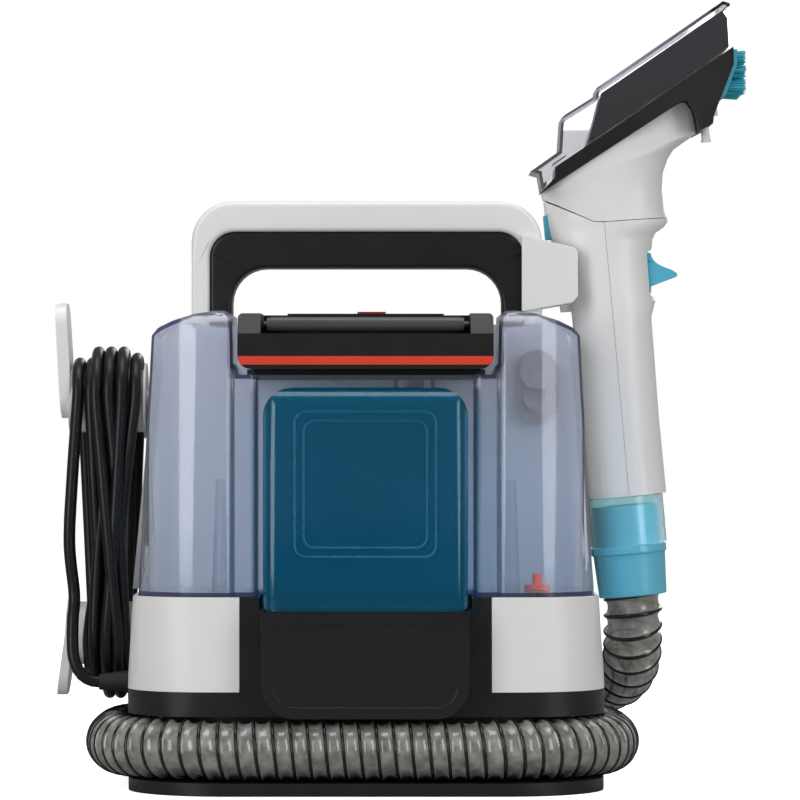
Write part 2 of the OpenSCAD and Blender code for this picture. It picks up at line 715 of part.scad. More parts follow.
// Grip wall between x0 and x1, cut off under the head's seam
module grip_half(x0, x1) {
    difference() {
        intersection() {
            grip_form(0);
            xz_slab([[x0, 63.8], [x1, 63.8], [x1, x1 > 10 ? 237.6 : 238.2], [x1 > 10 ? 3.7 : x1, 238.2],
                [x0 < -10 ? -4.6 : x0, x0 < -10 ? 239 : 238.2], [x0, x0 < -10 ? 261 : 238.2]], -40, 40);
        }
        grip_form(2.2);
    }
}
module grip_rear_shell() {
    color("#eceeee") in_wand() difference() {
        grip_half(-45, 1.9);
        block([-30, -4.6, 152], [-18, 4.6, 201]);
        block([-40, -6.4, 230.2], [-25, 6.4, 247.2]);
    }
}
module grip_front_shell() {
    color("#eceeee") in_wand() difference() {
        grip_half(2.1, 50);
        block([14, -7, 189.5], [45, 7, 218.4]);
        y_cyl(-11, 11, pivot[0], pivot[1], 1.6);
    }
}
module air_duct() {
    color("#55585c") in_wand() difference() {
        z_cyl(63.8, 234, duct_x, 0, 14);
        z_cyl(60, 240, duct_x, 0, 12.4);
    }
}
module spray_valve() {
    color("#d8dadb") in_wand() union() {
        block([9.5, -6, 178], [16, 6, 204]);
        z_cyl(150, 232, 12.5, 0, 2.5);
    }
}
module trigger_pin() color("silver") in_wand() y_cyl(-10, 10, pivot[0], pivot[1], 1.5);
module swivel_collar() {
    color([0.15, 0.6, 0.68, 0.7]) in_wand() difference() {
        z_cyl(32.6, 63.5, collar_x + 0.4, 0, 24.3);
        z_cyl(32, 64, collar_x, 0, 21.7);
    }
}
module spray_trigger() {
    color("#2aa3b5") in_wand() difference() {
        xz_slab([[20, 190.6], [28.4, 191.2], [29, 195.4], [45.3, 200], [46.2, 201.2], [45.8, 202.6], [42.9, 204.7],
            [38.2, 207], [34.8, 209], [32.4, 211.1], [31, 214], [30.3, 216.8], [20, 216.8]], -6.4, 6.4);
        y_cyl(-8, 8, pivot[0], pivot[1], 1.56);
    }
}
module release_button() color("#2aa3b5") in_wand() block([-35.6, -6, 230.8], [-26, 6, 246.6]);
module hose_cuff() {
    color("#41b6c9") in_wand() translate([collar_x, 0, 0]) difference() {
        union() {
            cylinder(h = 28, r1 = 21.6, r2 = 23);
            z_cyl(27, 32.2, 0, 0, 24);
            z_cyl(32, 58, 0, 0, 21);
        }
        z_cyl(-1, 61, 0, 0, 17.5);
    }
}

// Plan of the nozzle, drawn in by t: narrow over the grip, wide at the mouth
function nozzle_plan(t) = let (w = nozzle_w / 2 - t)
    [[-45, t - 27], [18, t - 29], [89, -w], [110, -w], [110, w], [89, w], [18, 29 - t], [-45, 27 - t]];
module nozzle_wedge(t) prism(200, 400, nozzle_plan(t));
// Outline in the wand's XZ plane, between the nozzle's two sides
module nozzle_slab(outline, t) {
    intersection() {
        xz_slab(outline, -60, 60);
        nozzle_wedge(t);
    }
}
// Ring of the head between two points, drawn in by t; square sections bulge past the oval
function head_ring(s, t, n = 40) = let (c = (s[0] + s[1]) / 2, u = (s[1] - s[0]) / norm(s[1] - s[0]),
        a = norm(s[1] - s[0]) / 2 - t, e = 1 - s[3])
    [for (i = [0:n - 1]) let (k = cos(360 * i / n), m = sin(360 * i / n), x = a * sign(k) * pow(abs(k), e))
        [c[0] + u[0] * x, (s[2] - t) * sign(m) * pow(abs(m), e), c[1] + u[1] * x]];
module head_form(t) loft([for (s = head_sections) head_ring(s, t)]);
module head_shell() {
    color("#eceeee") in_wand() difference() {
        intersection() {
            head_form(0);
            xz_slab(head_points, -40, 40);
        }
        intersection() {
            head_form(2.3);
            xz_slab([for (p = head_points) p[1] > 255 ? [p[0], p[1] - 2.6] : [p[0], p[1] - 1]], -40, 40);
        }
    }
}
module nozzle_frame() {
    color("#17181a") in_wand() difference() {
        nozzle_slab(frame_points, 0);
        intersection() {
            translate([0, 60, 0]) rotate([90, 0, 0]) linear_extrude(120) union() {
                offset(delta = -2.5) polygon(frame_points);
                translate([-2.8, 5.2]) offset(delta = -2.5) polygon(frame_points);
            }
            nozzle_wedge(4);
            block([-18, -60, 200], [85, 60, 400]);
        }
    }
}
module nozzle_cover() {
    color([0.75, 0.78, 0.82, 0.35]) in_wand() difference() {
        nozzle_slab(cover_points, 1);
        intersection() {
            translate([0, 60, 0]) rotate([90, 0, 0]) linear_extrude(120) union() {
                offset(delta = -2) polygon(cover_points);
                translate([6, 0]) offset(delta = -2) polygon(cover_points);
                translate([2, -4]) offset(delta = -2) polygon(cover_points);
            }
            nozzle_wedge(3);
        }
    }
}
module nozzle_liner() {
    color("#0f1013") in_wand() difference() {
        nozzle_slab(liner_points, 3.2);
        intersection() {
            translate([0, 60, 0]) rotate([90, 0, 0]) linear_extrude(120) union() {
                offset(delta = -1.5) polygon(liner_points);
                translate([6, 3]) offset(delta = -1.5) polygon(liner_points);
            }
            nozzle_wedge(4.7);
        }
    }
}
// Frame whose x runs up the nozzle's front face and z out of it
module on_face() translate([face_foot[0], 0, face_foot[1]]) rotate([0, -face_turn, 0]) mirror([0, 0, 1]) children();
// Side view of the brush block, bent to follow the frame's face
brush_face = [[84.4, 310], [93.5, 329], [94.5, 338.7]];
module brush_block() {
    color("#2aa3b5") in_wand() intersection() {
        xz_slab(concat([[92, 338.9], [91.15, 329.7], [82.1, 311]], brush_face), 5 - nozzle_w / 2, nozzle_w / 2 - 5);
        block([60, -60, 300], [110, 60, 345]);
    }
}
// Tufts point straight out to the right, and their tips are level with each other
module bristles() {
    color("#35b4c6") difference() {
        for (z = [315.8, 325, 334.2], i = [-4:4])
            x_cyl(wand_at[0] + 88 * cos(wand_lean) - z * sin(wand_lean), 239.5,
                wand_at[1] + i * (nozzle_w / 2 - 9.5) / 4,
                wand_at[2] + 92 * sin(wand_lean) + z * cos(wand_lean), 3.7);
        in_wand() xz_slab(concat([[60, 350], [60, 300], [79, 300]], brush_face, [[95.6, 350]]), -60, 60);
    }
}
module spray_tips() {
    color("#e9ebeb") in_wand() difference() {
        union() {
            z_cyl(286.2, 298, 71.8, -8, 2.7);
            translate([71.8, -8, 283.6]) cylinder(h = 2.7, r1 = 3.3, r2 = 2.7);
            z_cyl(301, 309.5, 79.6, 12, 2.7);
        }
        xz_slab(frame_points, -60, 60);
        z_cyl(280, 289, 71.8, -8, 1.2);
        z_cyl(298, 305, 80.4, 12, 1.1);
    }
}

base_plate();
foot_pads();
chassis_screws();
lower_housing();
left_side_panel();
right_side_panel();
front_shield();
tower_shell();
back_cover();
handle_shell();
handle_grip();
wand_holder();
cord_rail();
lower_cord_hook();
strain_relief();
hose_port();
suction_motor();
motor_mount();
fan_housing();
suction_duct();
solution_pump();
power_switch();
suction_hose();
cord_winding();
cord_lead();
mains_plug();
impeller();
pump_piston();
power_button();
upper_cord_hook();
recovery_tank();
inlet_port();
tank_valve();
tank_lid();
lid_stripe();
lid_gasket();
float_cage();
tank_bail();
tank_float();
solution_tank();
filler_cap();
vent_plug();
solution_valve();
grip_rear_shell();
grip_front_shell();
air_duct();
spray_valve();
trigger_pin();
swivel_collar();
spray_trigger();
release_button();
hose_cuff();
head_shell();
nozzle_frame();
nozzle_cover();
nozzle_liner();
brush_block();
bristles();
spray_tips();
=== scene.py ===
"""Looks of the spot extractor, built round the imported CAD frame.

Every length is in metres, in the row frame, unless a comment says millimetres.
"""
import math
import random

import bpy
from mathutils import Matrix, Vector


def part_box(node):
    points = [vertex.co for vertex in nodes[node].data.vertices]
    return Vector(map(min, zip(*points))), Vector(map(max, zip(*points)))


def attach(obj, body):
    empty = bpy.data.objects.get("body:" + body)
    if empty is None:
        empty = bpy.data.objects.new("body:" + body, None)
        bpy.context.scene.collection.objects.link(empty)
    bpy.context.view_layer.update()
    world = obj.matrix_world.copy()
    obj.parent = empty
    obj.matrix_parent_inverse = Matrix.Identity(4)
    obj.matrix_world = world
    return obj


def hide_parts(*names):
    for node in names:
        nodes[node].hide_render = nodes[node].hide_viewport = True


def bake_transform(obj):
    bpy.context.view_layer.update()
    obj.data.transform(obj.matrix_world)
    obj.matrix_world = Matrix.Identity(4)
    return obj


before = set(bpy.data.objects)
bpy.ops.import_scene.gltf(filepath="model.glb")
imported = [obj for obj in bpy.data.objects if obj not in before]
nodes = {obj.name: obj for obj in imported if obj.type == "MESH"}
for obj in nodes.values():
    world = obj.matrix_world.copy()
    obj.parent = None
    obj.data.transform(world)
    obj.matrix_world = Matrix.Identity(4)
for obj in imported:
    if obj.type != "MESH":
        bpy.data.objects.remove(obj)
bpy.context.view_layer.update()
MM = 0.001


# ---------------------------------------------------------------- camera, floor and light

SENSOR_WIDTH, FOCAL_LENGTH = 36, 207.1
CAMERA_PLACE = (0.021, -2.9, 0.2405)
CLIP_END = 50
# Strength of the white sky: as a light on the object, and as it shows behind the object
SKY_LIGHT, SKY_SEEN = 0.28, 1.0
FLOOR_SIZE = 12
AIM_HIGH, AIM_MIDDLE, AIM_LOW = (0, 0, 1.05), (0, 0, 0.22), (0, 0, 0.04)
# Name, place, aim, width, height and watts of each lamp
LAMPS = [("key_left", (-1.7, -2.0, 1.13), AIM_HIGH, 1.0, 2.2, 31),
         ("fill_right", (1.8, -1.7, 1.13), AIM_HIGH, 0.8, 2.2, 21),
         ("top", (0, -0.2, 1.9), AIM_MIDDLE, 1.4, 1.0, 15),
         ("low_strip", (0, -2.0, 0.06), AIM_LOW, 2.4, 0.10, 3),
         ("back", (0.6, 1.8, 1.0), AIM_MIDDLE, 1.0, 1.0, 10)]


def make_camera():
    """Long lens, level, straight in front of the machine."""
    data = bpy.data.cameras.new("camera")
    data.sensor_width = SENSOR_WIDTH
    data.lens = FOCAL_LENGTH
    data.clip_end = CLIP_END
    camera = bpy.data.objects.new("camera", data)
    camera.location = CAMERA_PLACE
    camera.rotation_euler = (math.radians(90), 0, 0)
    bpy.context.scene.collection.objects.link(camera)
    bpy.context.scene.camera = camera


def area_light(name, place, target, width, height, watts):
    """Rectangular lamp turned to its target."""
    data = bpy.data.lights.new(name, "AREA")
    data.shape = "RECTANGLE"
    data.size, data.size_y, data.energy = width, height, watts
    lamp = bpy.data.objects.new(name, data)
    lamp.location = place
    lamp.rotation_euler = (Vector(target) - Vector(place)).to_track_quat("-Z", "Y").to_euler()
    bpy.context.scene.collection.objects.link(lamp)
    return lamp


def make_studio():
    """White sky, weaker as a light than it looks, five lamps and a pale floor."""
    world = bpy.data.worlds.new("studio")
    world.use_nodes = True
    tree = world.node_tree
    sky = tree.nodes["Background"]
    sky.inputs["Color"].default_value = (1, 1, 1, 1)
    sky.inputs["Strength"].default_value = SKY_LIGHT
    seen = tree.nodes.new("ShaderNodeBackground")
    seen.inputs["Color"].default_value = (1, 1, 1, 1)
    seen.inputs["Strength"].default_value = SKY_SEEN
    path = tree.nodes.new("ShaderNodeLightPath")
    direct = tree.nodes.new("ShaderNodeMath")
    direct.operation = "MAXIMUM"
    mix = tree.nodes.new("ShaderNodeMixShader")
    tree.links.new(path.outputs["Is Camera Ray"], direct.inputs[0])
    tree.links.new(path.outputs["Is Transmission Ray"], direct.inputs[1])
    tree.links.new(direct.outputs[0], mix.inputs["Fac"])
    tree.links.new(sky.outputs[0], mix.inputs[1])
    tree.links.new(seen.outputs[0], mix.inputs[2])
    tree.links.new(mix.outputs[0], tree.nodes["World Output"].inputs["Surface"])
    scene = bpy.context.scene
    scene.world = world
    scene.view_settings.view_transform = "Standard"
    lamps = {row[0]: area_light(*row) for row in LAMPS}
    # The strip only lifts the base: its reflection would show as a bright band in the tanks
    lamps["low_strip"].visible_glossy = False
    lamps["low_strip"].visible_transmission = False
    bpy.ops.mesh.primitive_plane_add(size=FLOOR_SIZE, location=(0, 0, 0))
    floor = bpy.context.object
    floor.name = "floor"
    floor.data.materials.append(plain_floor())


# ---------------------------------------------------------------- materials

def new_material(name):
    """Empty material with its node tree and main shader."""
    material = bpy.data.materials.new(name)
    material.use_nodes = True
    tree = material.node_tree
    shader = tree.nodes["Principled BSDF"]
    return material, tree, shader


def noise(tree, scale, detail=3, stretch=(1, 1, 1)):
    """Noise fixed to the object, finer as the scale grows."""
    place = tree.nodes.new("ShaderNodeTexCoord")
    mapping = tree.nodes.new("ShaderNodeMapping")
    mapping.inputs["Scale"].default_value = stretch
    texture = tree.nodes.new("ShaderNodeTexNoise")
    texture.inputs["Scale"].default_value = scale
    texture.inputs["Detail"].default_value = detail
    tree.links.new(place.outputs["Object"], mapping.inputs["Vector"])
    tree.links.new(mapping.outputs["Vector"], texture.inputs["Vector"])
    return texture.outputs["Fac"]


# Most of a noise's values lie between these two
NOISE_LOW, NOISE_HIGH = 0.3, 0.7


def ramp(tree, source, low, high):
    """Colour that runs from low to high with the noise."""
    node = tree.nodes.new("ShaderNodeValToRGB")
    first, last = node.color_ramp.elements
    first.position, last.position = NOISE_LOW, NOISE_HIGH
    first.color = (*low, 1)
    last.color = (*high, 1)
    tree.links.new(source, node.inputs["Fac"])
    return node.outputs["Color"]


def spread(tree, source, low, high):
    """Value that runs from low to high with the noise."""
    node = tree.nodes.new("ShaderNodeMapRange")
    node.inputs["From Min"].default_value = NOISE_LOW
    node.inputs["From Max"].default_value = NOISE_HIGH
    node.inputs["To Min"].default_value = low
    node.inputs["To Max"].default_value = high
    tree.links.new(source, node.inputs["Value"])
    return node.outputs["Result"]


def bump(tree, shader, height, strength, distance):
    """Fine relief on the surface."""
    node = tree.nodes.new("ShaderNodeBump")
    node.inputs["Strength"].default_value = strength
    node.inputs["Distance"].default_value = distance
    tree.links.new(height, node.inputs["Height"])
    tree.links.new(node.outputs["Normal"], shader.inputs["Normal"])


def mix_by_ray(tree, ray, usual, special):
    """Surface that shows its usual shader, and a special one to a single kind of ray."""
    path = tree.nodes.new("ShaderNodeLightPath")
    mix = tree.nodes.new("ShaderNodeMixShader")
    tree.links.new(path.outputs[ray], mix.inputs["Fac"])
    tree.links.new(usual.outputs["BSDF"], mix.inputs[1])
    tree.links.new(special.outputs["BSDF"], mix.inputs[2])
    tree.links.new(mix.outputs["Shader"], tree.nodes["Material Output"].inputs["Surface"])


COAT_ROUGHNESS = 0.08
# Noise of opaque plastic, as scale and detail: clouds in its colour and patches in its gloss
CLOUDS, PATCHES = (14, 4), (60, 3)
GRAIN_DETAIL, GRAIN_HEIGHT = 2, 0.0002
# Parts of its mean between which the roughness of opaque and of clear plastic varies
OPAQUE_GLOSS, CLEAR_GLOSS = (0.88, 1.12), (0.6, 1.6)


def plastic(name, colour, rough, grain=0.15, grain_size=1400, mottle=0.06, coat=0.0, metal=0.0,
            shine=0.5):
    """Moulded plastic: a faint cloudiness in colour and gloss, and a fine moulded grain."""
    material, tree, shader = new_material(name)
    low = [c * (1 - mottle) for c in colour]
    high = [min(1, c * (1 + mottle)) for c in colour]
    tree.links.new(ramp(tree, noise(tree, *CLOUDS), low, high), shader.inputs["Base Color"])
    gloss = spread(tree, noise(tree, *PATCHES), *[rough * part for part in OPAQUE_GLOSS])
    tree.links.new(gloss, shader.inputs["Roughness"])
    bump(tree, shader, noise(tree, grain_size, GRAIN_DETAIL), grain, GRAIN_HEIGHT)
    shader.inputs["Coat Weight"].default_value = coat
    shader.inputs["Coat Roughness"].default_value = COAT_ROUGHNESS
    shader.inputs["Metallic"].default_value = metal
    shader.inputs["Specular IOR Level"].default_value = shine
    return material


CLEAR_IOR = 1.42
# Noise of clear plastic, as scale, detail and stretch: flow in its tint, smears in its gloss and waves in
# its wall
FLOW, SMEARS, WAVES = (9, 3, (1, 1, 0.35)), (40, 3), (22, 2, (1, 1, 0.3))
WAVE_STRENGTH, WAVE_HEIGHT = 0.06, 0.002
# Part of the tint that is left where the flow is darkest
DARK_FLOW = 0.965


def clear_plastic(name, tint, rough=0.03, shadow=(0.9, 0.9, 0.95), depth=None, density=0.0, clear=1.0):
    """Tinted clear moulding. Lamps shine through it, so what it holds is lit.

    Depth is the tint that light takes on inside the wall, and density is how fast it does.
    """
    material, tree, shader = new_material(name)
    low = [c * DARK_FLOW for c in tint]
    tree.links.new(ramp(tree, noise(tree, *FLOW), low, tint), shader.inputs["Base Color"])
    gloss = spread(tree, noise(tree, *SMEARS), *[rough * part for part in CLEAR_GLOSS])
    tree.links.new(gloss, shader.inputs["Roughness"])
    bump(tree, shader, noise(tree, *WAVES), WAVE_STRENGTH, WAVE_HEIGHT)
    shader.inputs["Transmission Weight"].default_value = clear
    shader.inputs["IOR"].default_value = CLEAR_IOR
    if depth:
        body = tree.nodes.new("ShaderNodeVolumeAbsorption")
        body.inputs["Color"].default_value = (*depth, 1)
        body.inputs["Density"].default_value = density
        tree.links.new(body.outputs["Volume"], tree.nodes["Material Output"].inputs["Volume"])
    through = tree.nodes.new("ShaderNodeBsdfTransparent")
    through.inputs["Color"].default_value = (*shadow, 1)
    mix_by_ray(tree, "Is Shadow Ray", shader, through)
    return material


# Grey of the floor in reflections and to the eye, its glow, and its roughness
FLOOR_DULL, FLOOR_PALE, FLOOR_GLOW, FLOOR_ROUGHNESS = 0.36, 0.88, 0.86, 0.9


def plain_floor():
    """Pale paper: bright to the eye, and duller in reflections so it doesn't wash out the dark mouldings."""
    material, tree, shader = new_material("floor_paint")
    shader.inputs["Base Color"].default_value = (FLOOR_DULL, FLOOR_DULL, FLOOR_DULL, 1)
    shader.inputs["Roughness"].default_value = FLOOR_ROUGHNESS
    pale = tree.nodes.new("ShaderNodeBsdfPrincipled")
    pale.inputs["Base Color"].default_value = (FLOOR_PALE, FLOOR_PALE, FLOOR_PALE, 1)
    pale.inputs["Roughness"].default_value = FLOOR_ROUGHNESS
    pale.inputs["Emission Color"].default_value = (1, 1, 1, 1)
    pale.inputs["Emission Strength"].default_value = FLOOR_GLOW
    mix_by_ray(tree, "Is Camera Ray", shader, pale)
    return material


# Noise of the hose's web, as scale and detail: smoke in its colour, smears in its gloss and a fine grain
WEB_SMOKE, WEB_SMEARS, WEB_GRAIN = (130, 4), (300, 3), (500, 2)
WEB_DARK, WEB_LIGHT = (0.13, 0.122, 0.105), (0.37, 0.36, 0.335)
WEB_GLOSS = (0.16, 0.34)
WEB_RELIEF, WEB_RELIEF_HEIGHT = 0.25, 0.0004
WEB_ALPHA = 0.86


def hose_web():
    """Smoky, slightly clear web between the hose's coils, cloudy in colour and gloss."""
    material, tree, shader = new_material("hose_web")
    tree.links.new(ramp(tree, noise(tree, *WEB_SMOKE), WEB_DARK, WEB_LIGHT), shader.inputs["Base Color"])
    tree.links.new(spread(tree, noise(tree, *WEB_SMEARS), *WEB_GLOSS), shader.inputs["Roughness"])
    bump(tree, shader, noise(tree, *WEB_GRAIN), WEB_RELIEF, WEB_RELIEF_HEIGHT)
    shader.inputs["Alpha"].default_value = WEB_ALPHA
    shader.inputs["Coat Weight"].default_value = 1.0
    shader.inputs["Coat Roughness"].default_value = COAT_ROUGHNESS
    return material


WHITE = plastic("white_satin", (0.77, 0.77, 0.76), 0.34, mottle=0.015)
SHELL_WHITE = plastic("white_tower", (0.62, 0.63, 0.63), 0.42, mottle=0.02)
BLACK = plastic("black_satin", (0.010, 0.010, 0.011), 0.36, 0.3, mottle=0.12, shine=0.32)
BLACK_GLOSS = plastic("black_gloss", (0.007, 0.007, 0.009), 0.20, 0.1, mottle=0.1, coat=0.25, shine=0.35)
GREY = plastic("grey_moulding", (0.05, 0.052, 0.056), 0.4, mottle=0.08)
PALE = plastic("pale_moulding", (0.55, 0.54, 0.50), 0.5, mottle=0.05)
RUBBER = plastic("soft_rubber", (0.015, 0.015, 0.016), 0.62, 0.5, 900, mottle=0.15, shine=0.3)
CORD = plastic("cord_sheath", (0.006, 0.006, 0.007), 0.36, 0.35, 700, mottle=0.2, shine=0.3)
METAL = plastic("plated_metal", (0.55, 0.56, 0.58), 0.3, 0.2, mottle=0.05, metal=1.0)
ORANGE = plastic("orange_gloss", (0.68, 0.046, 0.018), 0.34, mottle=0.02)
RED = plastic("dark_red", (0.25, 0.012, 0.012), 0.3, mottle=0.06)
TEAL = plastic("teal_gloss", (0.085, 0.46, 0.62), 0.30, mottle=0.05, coat=0.2)
CYAN = plastic("cyan_gloss", (0.12, 0.50, 0.66), 0.30, mottle=0.04, coat=0.2)
BRISTLE = plastic("bristle_teal", (0.05, 0.45, 0.58), 0.4, mottle=0.12)
CAP = plastic("cap_teal", (0.004, 0.035, 0.055), 0.4, mottle=0.1)
LAVENDER = clear_plastic("tank_lavender", (0.90, 0.91, 0.94), rough=0.07, shadow=(0.93, 0.94, 0.96),
                         depth=(0.52, 0.57, 0.74), density=78, clear=0.95)
DISC = plastic("pale_disc", (0.17, 0.17, 0.20), 0.3, mottle=0.05, coat=0.3)
TEAL_CLEAR = clear_plastic("tank_teal", (0.0, 0.26, 0.41), rough=0.06, shadow=(0.40, 0.80, 0.88),
                           clear=0.84)
TEAL_RIM = clear_plastic("tank_rim", (0.004, 0.27, 0.40), rough=0.3, shadow=(0.6, 0.9, 0.95), clear=0.7)
COLLAR = clear_plastic("collar_teal", (0.62, 0.86, 0.88), rough=0.14, clear=0.92)
WATER_CLEAR = clear_plastic("cover_clear", (0.84, 0.845, 0.86), rough=0.02, depth=(0.45, 0.46, 0.50),
                            density=80)
INKY = plastic("inky_gloss", (0.0035, 0.0035, 0.007), 0.22, 0.05, mottle=0.1, shine=0.25)

FINISHES = {
    WHITE: ["left_side_panel", "right_side_panel", "handle_shell", "wand_holder", "grip_rear_shell",
            "grip_front_shell", "head_shell", "spray_tips", "upper_cord_hook", "lower_cord_hook",
            "cord_rail"],
    SHELL_WHITE: ["tower_shell", "back_cover"],
    BLACK: ["base_plate", "lower_housing", "handle_grip", "tank_lid", "nozzle_frame", "hose_port",
            "power_switch"],
    BLACK_GLOSS: ["front_shield"],
    INKY: ["nozzle_liner"],
    GREY: ["tank_bail", "fan_housing", "suction_duct", "solution_pump", "air_duct", "spray_valve",
           "float_cage"],
    PALE: ["tank_float"],
    RUBBER: ["foot_pads", "motor_mount", "lid_gasket", "strain_relief", "mains_plug"],
    METAL: ["chassis_screws", "suction_motor", "impeller", "pump_piston", "trigger_pin"],
    ORANGE: ["lid_stripe", "tank_valve", "solution_valve"],
    RED: ["power_button"],
    TEAL: ["spray_trigger", "release_button", "brush_block"],
    CYAN: ["hose_cuff"],
    BRISTLE: ["bristles"],
    CAP: ["filler_cap", "vent_plug"],
    LAVENDER: ["recovery_tank"],
    DISC: ["inlet_port"],
    TEAL_CLEAR: ["solution_tank"],
    COLLAR: ["swivel_collar"],
    WATER_CLEAR: ["nozzle_cover"],
}
# Width of the softened edge of each moulding, in millimetres, and of any that isn't listed
EDGE_ROUND = {"handle_shell": 3.2, "handle_grip": 2.5, "wand_holder": 2.2, "tower_shell": 2.0,
              "lower_housing": 1.2, "tank_lid": 1.0, "front_shield": 1.4, "base_plate": 1.5,
              "upper_cord_hook": 1.6, "lower_cord_hook": 1.6, "head_shell": 1.6, "nozzle_frame": 1.0,
              "nozzle_cover": 0.7, "solution_tank": 1.4, "recovery_tank": 0.9, "spray_trigger": 1.0,
              "release_button": 0.8, "power_button": 1.0, "hose_cuff": 0.8}
PLAIN_EDGE = 0.4
EDGE_SEGMENTS = 3
# Corners sharper than this many degrees are softened
EDGE_ANGLE = 35
WELD_DISTANCE = 0.00002


def finish_nodes():
    """Gives every CAD node its material, and softens its moulded edges."""
    for material, names in FINISHES.items():
        for name in names:
            piece = nodes[name]
            piece.data.materials.clear()
            piece.data.materials.append(material)
            weld = piece.modifiers.new("weld", "WELD")
            weld.merge_threshold = WELD_DISTANCE
            edge = piece.modifiers.new("edge", "BEVEL")
            edge.width = EDGE_ROUND.get(name, PLAIN_EDGE) * MM
            edge.segments = EDGE_SEGMENTS
            edge.limit_method = "ANGLE"
            edge.angle_limit = math.radians(EDGE_ANGLE)
            edge.use_clamp_overlap = True
            piece.data.polygons.foreach_set("use_smooth", [True] * len(piece.data.polygons))
            piece.modifiers.new("even", "WEIGHTED_NORMAL")


# ---------------------------------------------------------------- curves and tubes

# A curve is first cut this much finer than its even steps, and at least so many times between two points
FINE_CUT, FEWEST_CUTS = 0.3, 4


def smooth_path(points, step):
    """Even steps along a Catmull-Rom curve through the points."""
    points = [Vector(p) for p in points]
    ends = [2 * points[0] - points[1]] + points + [2 * points[-1] - points[-2]]
    dense = []
    for i in range(1, len(ends) - 2):
        a, b, c, d = ends[i - 1:i + 3]
        count = max(FEWEST_CUTS, int((c - b).length / (step * FINE_CUT)))
        for k in range(count):
            t = k / count
            dense.append(0.5 * ((2 * b) + (c - a) * t + (2 * a - 5 * b + 4 * c - d) * t ** 2
                                + (3 * b - 3 * c + d - a) * t ** 3))
    dense.append(points[-1])
    even, gone = [dense[0]], 0.0
    for a, b in zip(dense, dense[1:]):
        length = (b - a).length
        while length > 0 and gone + length >= step:
            a = a + (b - a) * ((step - gone) / length)
            even.append(a)
            length = (b - a).length
            gone = 0.0
        gone += length
    return even


def carried_axes(path):
    """Heading and two square axes at each point, turned as little as possible along the way."""
    before, after = path[:1] + path[:-1], path[1:] + path[-1:]
    headings = [(b - a).normalized() for a, b in zip(before, after)]
    side = headings[0].cross(Vector((0, 0, 1)))
    if side.length < 0.1:
        side = headings[0].cross(Vector((0, 1, 0)))
    axes = []
    for heading in headings:
        side = (side - heading * side.dot(heading)).normalized()
        axes.append((side, heading.cross(side)))
    return axes


def mesh_object(name, verts, faces, materials, face_slots=None, smooth=True):
    """Object from its points and faces, linked into the scene."""
    mesh = bpy.data.meshes.new(name)
    mesh.from_pydata([tuple(v) for v in verts], [], faces)
    for material in materials:
        mesh.materials.append(material)
    for i, face in enumerate(mesh.polygons):
        face.use_smooth = smooth
        if face_slots:
            face.material_index = face_slots[i]
    mesh.update()
    piece = bpy.data.objects.new(name, mesh)
    bpy.context.scene.collection.objects.link(piece)
    return piece


def round_tube(name, points, radius, material, resolution, closed=False):
    """Round tube along the points: closed into a ring, or open with flat ends."""
    curve = bpy.data.curves.new(name, "CURVE")
    curve.dimensions = "3D"
    curve.bevel_depth = radius
    curve.bevel_resolution = resolution
    curve.use_fill_caps = not closed
    curve.materials.append(material)
    spline = curve.splines.new("POLY")
    spline.points.add(len(points) - 1)
    for place, point in zip(spline.points, points):
        place.co = (*point, 1)
    spline.use_smooth = True
    spline.use_cyclic_u = closed
    tube = bpy.data.objects.new(name, curve)
    bpy.context.scene.collection.objects.link(tube)
    return tube


# ---------------------------------------------------------------- suction hose

# Route of the hose from its port to the wand's cuff, the same points as in the part's source, in millimetres
HOSE_ROUTE = [(40, 100, 27.3), (65, 100, 27.3), (92, 97, 27.3), (119, 84, 27.3), (139, 60, 27.3),
              (149, 30, 27.3), (151.5, 0, 27.3), (150.5, -30, 27.3), (140, -60, 27.3), (117, -84, 27.3),
              (85, -97, 27.3), (50, -100, 27.3), (10, -100, 27.3), (-30, -100, 27.3), (-70, -100, 27.3),
              (-105, -94, 27.3), (-131, -80, 27.3), (-149, -55, 27.3), (-156, -25, 27.3), (-157, 5, 27.3),
              (-155, 36, 27.3), (-146, 63, 27.3), (-128, 87, 27.5), (-103, 105, 31), (-78, 112.5, 40),
              (-52, 115.5, 51), (-25, 116.5, 61), (5, 117, 66), (38, 117.5, 67), (72, 119, 65),
              (100, 121, 62), (122, 118, 59), (139, 110, 57.5), (151, 98, 57), (160, 84, 59),
              (166, 70, 65), (169.5, 58, 74), (170, 48, 86), (169.8, 41.8, 99), (169.8, 40.2, 110.8),
              (169.6, 40, 118)]
HOSE_DIAMETER = 0.038
COIL_PITCH = 0.0105
# Section of one pitch of the hose: place along the pitch, and how far it lies under the coil's crown
HOSE_SECTION = [(0.0, 0.0), (0.05, 0.00025), (0.10, 0.0009), (0.14, 0.0017), (0.24, 0.0023), (0.37, 0.0027),
                (0.5, 0.0028), (0.63, 0.0027), (0.76, 0.0023), (0.86, 0.0017), (0.90, 0.0009),
                (0.95, 0.00025)]
HOSE_SIDES = 44
HOSE_STEP = 0.001
# Rows of the section, at each end of the pitch, that belong to the wire coil
COIL_ROWS = 2
# How far the first row of faces may start before the route, and how far the last one stays short of its end
HOSE_START, HOSE_END = 0.0005, 0.0012
# Keeps the last points of the skin inside the last step of the route
TINY = 1e-6


